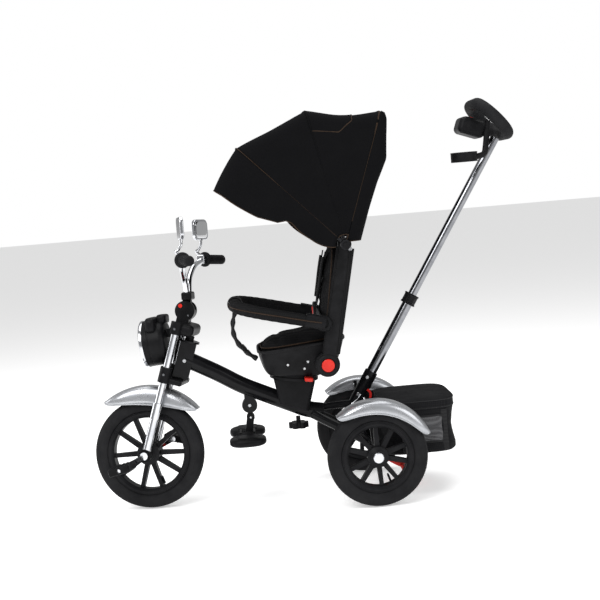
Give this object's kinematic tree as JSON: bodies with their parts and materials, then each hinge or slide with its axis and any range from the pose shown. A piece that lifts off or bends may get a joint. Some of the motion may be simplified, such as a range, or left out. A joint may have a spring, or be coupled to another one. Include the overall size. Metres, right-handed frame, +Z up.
{
  "type": "children's tricycle",
  "caption": "Children's push tricycle with swivelling reclining seat, folding canopy, safety bar, telescopic parent push bar, rear bag and chopper-style front fork.",
  "frame": {"origin": "on the ground, under the middle of the tricycle's own box", "axes": "+Z up, the tricycle faces -X, its left side is -Y"},
  "size_m": [1.1947, 0.5068, 1.0347],
  "materials": {
    "painted_frame": "gloss black paint",
    "chrome": "polished chrome",
    "dark_chrome": "dark polished chrome",
    "satin_silver": "satin silver paint",
    "black_plastic": "satin black moulding",
    "shell_plastic": "dark grey textured moulding",
    "rim_plastic": "matte black moulding",
    "tyre_rubber": "matte moulded rubber",
    "grip_foam": "matte foam and rubber",
    "red_plastic": "red moulding",
    "lens": "clear ribbed lens",
    "bow_steel": "black steel rod",
    "canopy_fabric": "black coated woven cloth",
    "seat_fabric": "black padded cloth",
    "strap": "black woven strap",
    "bag_fabric": "black woven cloth with grey mesh"
  },
  "bodies": {
    "frame": {"main_tube": "painted_frame", "head_tube": "painted_frame", "rear_frame": "painted_frame", "rear_axle": "dark_chrome", "rear_mudguards": "satin_silver", "bag_body": "bag_fabric", "lower_push_tube": "dark_chrome", "push_tube_clamp": "black_plastic", "seat_post": "black_plastic"},
    "fork": {"fork_legs": "chrome", "fork_ends": "black_plastic", "lower_crown": "black_plastic", "upper_crown": "black_plastic", "front_mudguard": "satin_silver", "headlight_housing": "black_plastic", "headlight_bezel": "satin_silver", "headlight_lens": "lens", "sound_box": "black_plastic"},
    "handlebar": {"handlebar_clamp": "black_plastic", "handlebar": "chrome", "grips": "grip_foam", "mirror_stems": "chrome"},
    "handlebar_button": {"handlebar_button": "red_plastic"},
    "mirror_left": {"mirror_left": "chrome"},
    "mirror_right": {"mirror_right": "chrome"},
    "front_wheel": {"front_tyre": "tyre_rubber", "front_rim": "rim_plastic"},
    "clutch": {"clutch_knob": "red_plastic"},
    "crank": {"crankset": "chrome"},
    "pedal_left": {"pedal_left": "black_plastic"},
    "pedal_right": {"pedal_right": "black_plastic"},
    "rear_wheel_left": {"rear_tyre_left": "tyre_rubber", "rear_rim_left": "rim_plastic"},
    "rear_wheel_right": {"rear_tyre_right": "tyre_rubber", "rear_rim_right": "rim_plastic"},
    "seat": {"seat_shell": "shell_plastic", "seat_cushion": "seat_fabric"},
    "swivel_lever": {"swivel_lever": "red_plastic"},
    "backrest": {"backrest_frame": "shell_plastic", "backrest_cushion": "seat_fabric", "harness": "strap", "canopy_rear": "canopy_fabric"},
    "recline_button_left": {"recline_button_left": "red_plastic"},
    "recline_button_right": {"recline_button_right": "red_plastic"},
    "safety_bar": {"safety_bar": "seat_fabric", "crotch_strap": "strap"},
    "canopy_mid": {"mid_bow": "bow_steel", "canopy_front": "canopy_fabric"},
    "canopy_tip": {"front_bow": "bow_steel", "canopy_visor": "canopy_fabric"},
    "push_bar": {"upper_push_tube": "dark_chrome", "push_handle": "grip_foam", "push_console": "black_plastic", "cup_holder": "black_plastic"},
    "bag_lid": {"bag_lid": "bag_fabric"},
    "brake": {"brake_pedal": "red_plastic"},
    "seat_knob": {"seat_knob": "black_plastic"},
    "footrest": {"footrest_arm": "black_plastic"},
    "foot_plate_left": {"foot_plate_left": "black_plastic"},
    "foot_plate_right": {"foot_plate_right": "black_plastic"}
  },
  "joints": [
    {"name": "steering", "type": "hinge", "parent": "frame", "child": "fork", "pos_m": [-0.4157, 0, 0.13953], "axis": [0.3173, 0, 0.9483], "range_deg": [-20, 35]},
    {"name": "handlebar_tilt", "type": "hinge", "parent": "fork", "child": "handlebar", "pos_m": [-0.31462, 0.00486, 0.52856], "axis": [0.1647, 0.9848, -0.0551], "range_deg": [-25, 0]},
    {"name": "handlebar_button_press", "type": "slide", "parent": "fork", "child": "handlebar_button", "axis": [0.1647, 0.9848, -0.0551], "range_m": [0, 0.002], "stiffness_N_per_m": 300},
    {"name": "front_wheel_spin", "type": "hinge", "parent": "fork", "child": "front_wheel", "pos_m": [-0.44653, 0.00573, 0.14984], "axis": [0.1647, 0.9848, -0.0551], "continuous": true},
    {"name": "crank_spin", "type": "hinge", "parent": "fork", "child": "crank", "pos_m": [-0.44653, 0.00573, 0.14984], "axis": [0.1647, 0.9848, -0.0551], "continuous": true},
    {"name": "clutch_push", "type": "slide", "parent": "front_wheel", "child": "clutch", "axis": [0.1647, 0.9848, -0.0551], "range_m": [0, 0.0025]},
    {"name": "pedal_left_spin", "type": "hinge", "parent": "crank", "child": "pedal_left", "pos_m": [-0.50864, -0.06416, 0.1307], "axis": [0.1647, 0.9848, -0.0551], "continuous": true},
    {"name": "pedal_right_spin", "type": "hinge", "parent": "crank", "child": "pedal_right", "pos_m": [-0.38441, 0.07562, 0.16898], "axis": [0.1647, 0.9848, -0.0551], "continuous": true},
    {"name": "mirror_left_turn", "type": "hinge", "parent": "handlebar", "child": "mirror_left", "pos_m": [-0.30519, -0.11785, 0.72288], "axis": [0.0046, 0.0551, 0.9985], "range_deg": [-30, 30]},
    {"name": "mirror_right_turn", "type": "hinge", "parent": "handlebar", "child": "mirror_right", "pos_m": [-0.26237, 0.1382, 0.70856], "axis": [0.0046, 0.0551, 0.9985], "range_deg": [-30, 30]},
    {"name": "rear_wheel_left_spin", "type": "hinge", "parent": "frame", "child": "rear_wheel_left", "pos_m": [0.153, -0.22, 0.13], "axis": [0, 1, 0], "continuous": true},
    {"name": "rear_wheel_right_spin", "type": "hinge", "parent": "frame", "child": "rear_wheel_right", "pos_m": [0.153, 0.22, 0.13], "axis": [0, 1, 0], "continuous": true},
    {"name": "seat_swivel", "type": "hinge", "parent": "frame", "child": "seat", "pos_m": [-0.039, 0, 0.318], "axis": [-0.1305, 0, -0.9914], "continuous": true},
    {"name": "swivel_lever_pull", "type": "slide", "parent": "seat", "child": "swivel_lever", "axis": [0, -1, 0], "range_m": [0, 0.006], "stiffness_N_per_m": 300},
    {"name": "backrest_recline", "type": "hinge", "parent": "seat", "child": "backrest", "pos_m": [0.049, 0, 0.366], "axis": [0, -1, 0], "range_deg": [-15, 0]},
    {"name": "recline_button_left_press", "type": "slide", "parent": "backrest", "child": "recline_button_left", "axis": [0, 1, 0], "range_m": [0, 0.003], "stiffness_N_per_m": 300},
    {"name": "recline_button_right_press", "type": "slide", "parent": "backrest", "child": "recline_button_right", "axis": [0, -1, 0], "range_m": [0, 0.003], "stiffness_N_per_m": 300},
    {"name": "safety_bar_lift", "type": "hinge", "parent": "backrest", "child": "safety_bar", "pos_m": [0.046, 0, 0.478], "axis": [0, 1, 0], "range_deg": [0, 45], "deforming": ["crotch_strap"]},
    {"name": "canopy_fold", "type": "hinge", "parent": "backrest", "child": "canopy_mid", "pos_m": [0.117, 0, 0.678], "axis": [0, 1, 0], "range_deg": [0, 28]},
    {"name": "visor_fold", "type": "hinge", "parent": "canopy_mid", "child": "canopy_tip", "pos_m": [0.117, 0, 0.678], "axis": [0, 1, 0], "range_deg": [0, 28]},
    {"name": "push_bar_slide", "type": "slide", "parent": "frame", "child": "push_bar", "axis": [-0.5358, 0, -0.8443], "range_m": [0, 0.2]},
    {"name": "bag_lid_open", "type": "hinge", "parent": "frame", "child": "bag_lid", "pos_m": [0.183, 0, 0.2266], "axis": [0, -1, 0], "range_deg": [0, 45]},
    {"name": "brake_press", "type": "hinge", "parent": "frame", "child": "brake", "pos_m": [0.173, 0, 0.106], "axis": [0, 1, 0], "range_deg": [0, 8], "stiffness_Nm_per_rad": 6, "springref_deg": -11.46},
    {"name": "seat_knob_turn", "type": "hinge", "parent": "frame", "child": "seat_knob", "pos_m": [-0.036, 0, 0.19834], "axis": [0, 0, 1], "continuous": true},
    {"name": "footrest_swing", "type": "hinge", "parent": "frame", "child": "footrest", "pos_m": [-0.165, 0, 0.224], "axis": [0, 1, 0], "range_deg": [-15, 15]},
    {"name": "foot_plate_left_fold", "type": "hinge", "parent": "footrest", "child": "foot_plate_left", "pos_m": [-0.177, -0.022, 0.182], "axis": [-1, 0, 0], "range_deg": [0, 85]},
    {"name": "foot_plate_right_fold", "type": "hinge", "parent": "footrest", "child": "foot_plate_right", "pos_m": [-0.177, 0.022, 0.182], "axis": [1, 0, 0], "range_deg": [0, 85]}
  ],
  "couplings": [
    {"joint": "crank_spin", "follows": "front_wheel_spin", "ratio": 1},
    {"joint": "visor_fold", "follows": "canopy_fold", "ratio": 1}
  ]
}
